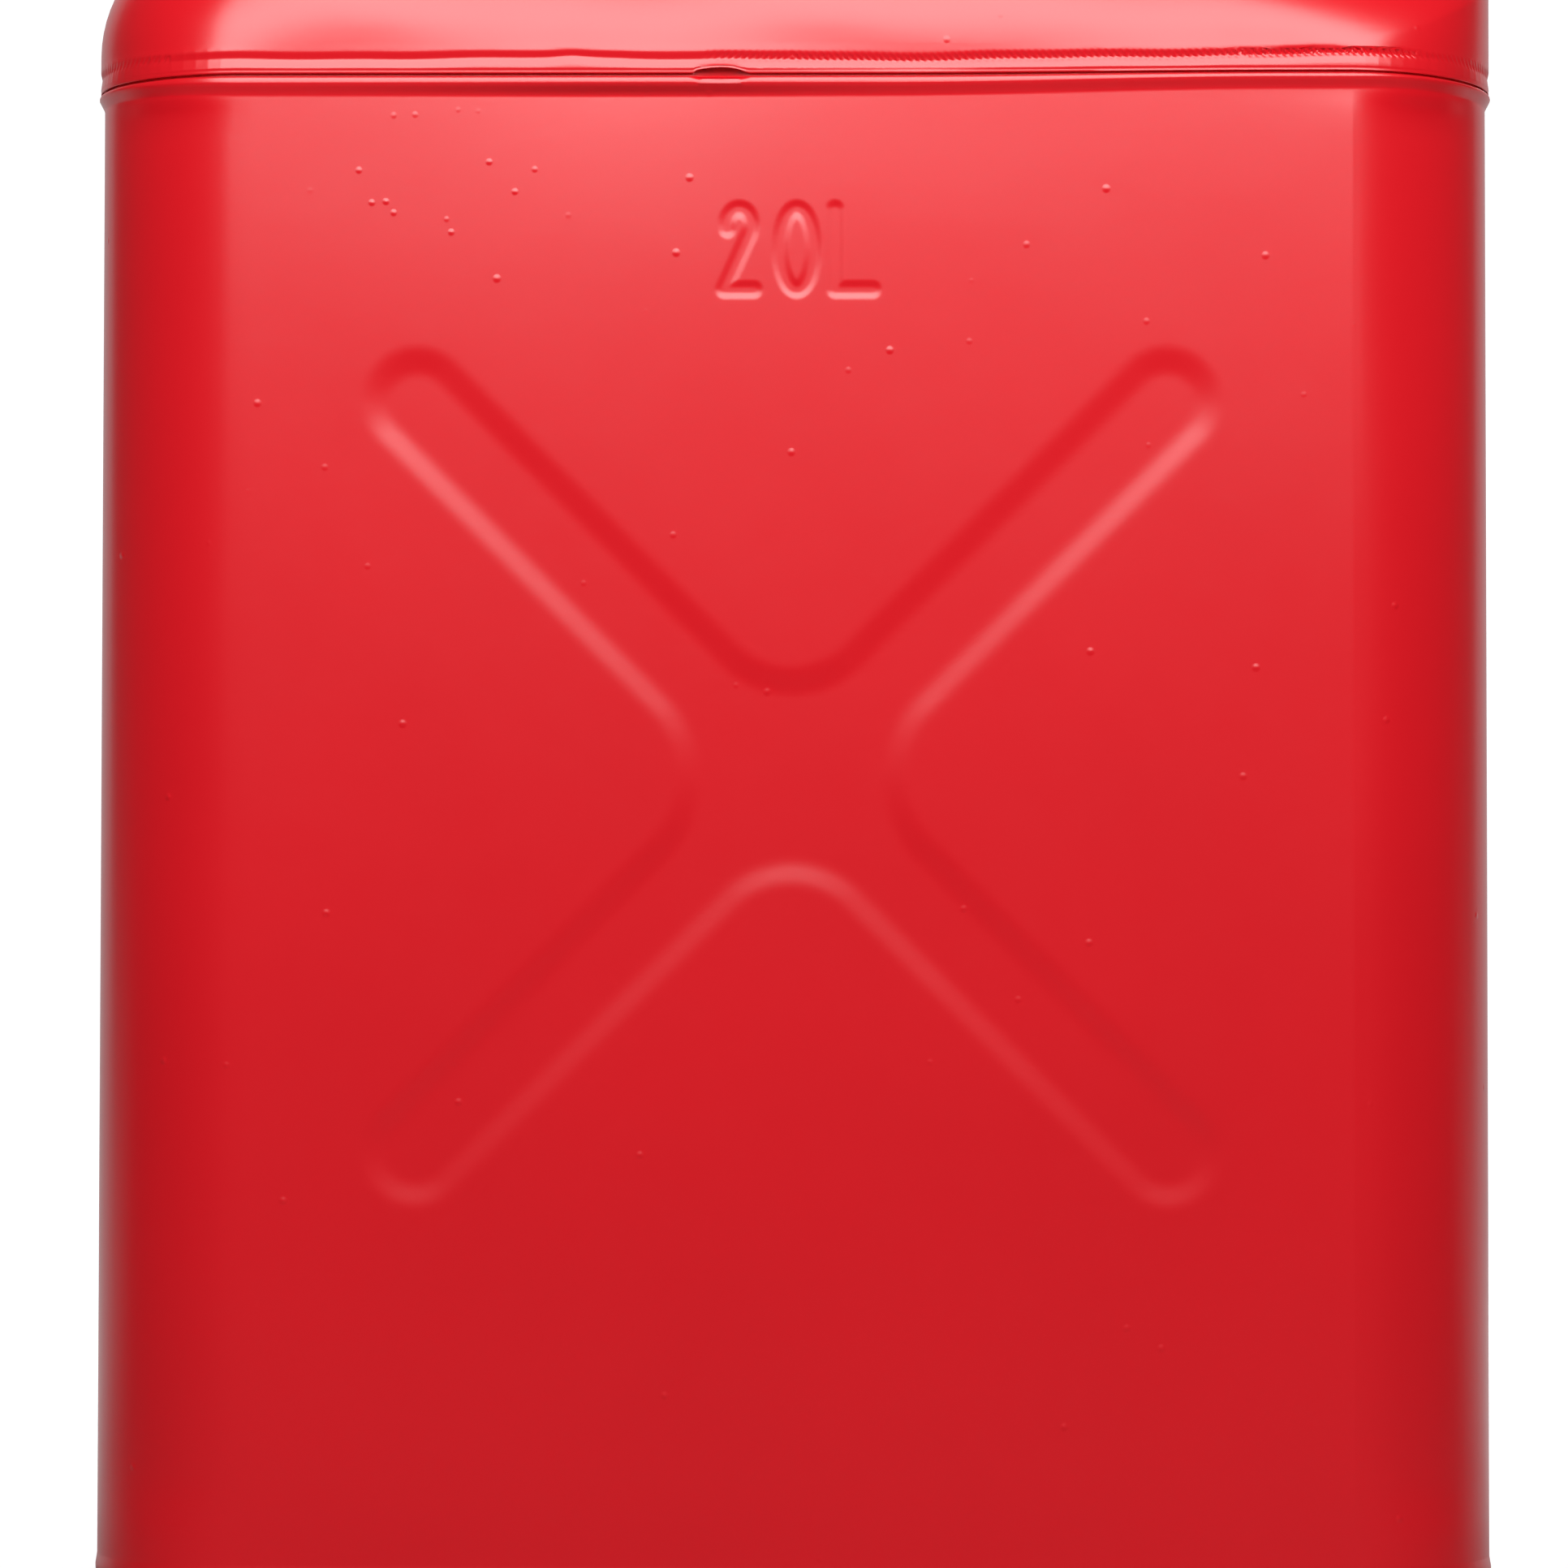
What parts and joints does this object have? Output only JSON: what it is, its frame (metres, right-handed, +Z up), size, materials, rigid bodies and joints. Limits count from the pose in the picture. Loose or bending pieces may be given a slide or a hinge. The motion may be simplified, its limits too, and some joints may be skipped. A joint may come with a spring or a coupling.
{
  "type": "metal jerry can",
  "caption": "Upright sheet-steel fuel can with rounded corners, a pressed cross on both faces, carrying handles and a cam-lever lid with a lock pin.",
  "frame": {"origin": "middle of the footprint on the floor, under the standing ring of the bottom pan", "axes": "+Z up; +X towards the end with the mouth; the broad faces look along -Y and +Y"},
  "size_m": [0.345, 0.165, 0.47],
  "materials": {
    "red_enamel": "satin-gloss enamel over sheet steel",
    "zinc_plate": "zinc-plated, lightly brushed",
    "fuel_rubber": "matte"
  },
  "bodies": {
    "can": {"body_shell": "red_enamel", "top_cover": "red_enamel", "bottom_pan": "red_enamel", "handle_front": "red_enamel", "handle_middle": "red_enamel", "handle_rear": "red_enamel", "filler_neck": "red_enamel", "breather_tube": "zinc_plate", "closure_bracket": "red_enamel", "catch_stud_front": "zinc_plate", "catch_stud_rear": "zinc_plate", "lid_hinge_pin": "zinc_plate"},
    "lid": {"lid_cap": "red_enamel", "lid_gasket": "fuel_rubber", "lid_yoke": "red_enamel", "lid_rivet": "zinc_plate", "lever_pin": "zinc_plate"},
    "lever": {"cam_lever": "red_enamel", "lock_pin_guide": "zinc_plate"},
    "lock_pin": {"lock_pin": "zinc_plate"}
  },
  "joints": [
    {"name": "lid_swing", "type": "hinge", "parent": "can", "child": "lid", "pos_m": [0.08621, 0, 0.4478], "axis": [0, -1, 0], "range_deg": [0, 110]},
    {"name": "lever_turn", "type": "hinge", "parent": "lid", "child": "lever", "pos_m": [0.14323, 0, 0.44914], "axis": [0, -1, 0], "range_deg": [0, 92]},
    {"name": "lock_pin_slide", "type": "slide", "parent": "lever", "child": "lock_pin", "axis": [0, 1, 0], "range_m": [0, 0.005]}
  ],
  "couplings": [
    {"joint": "lever_turn", "follows": "lid_swing", "ratio": 0.83636}
  ]
}
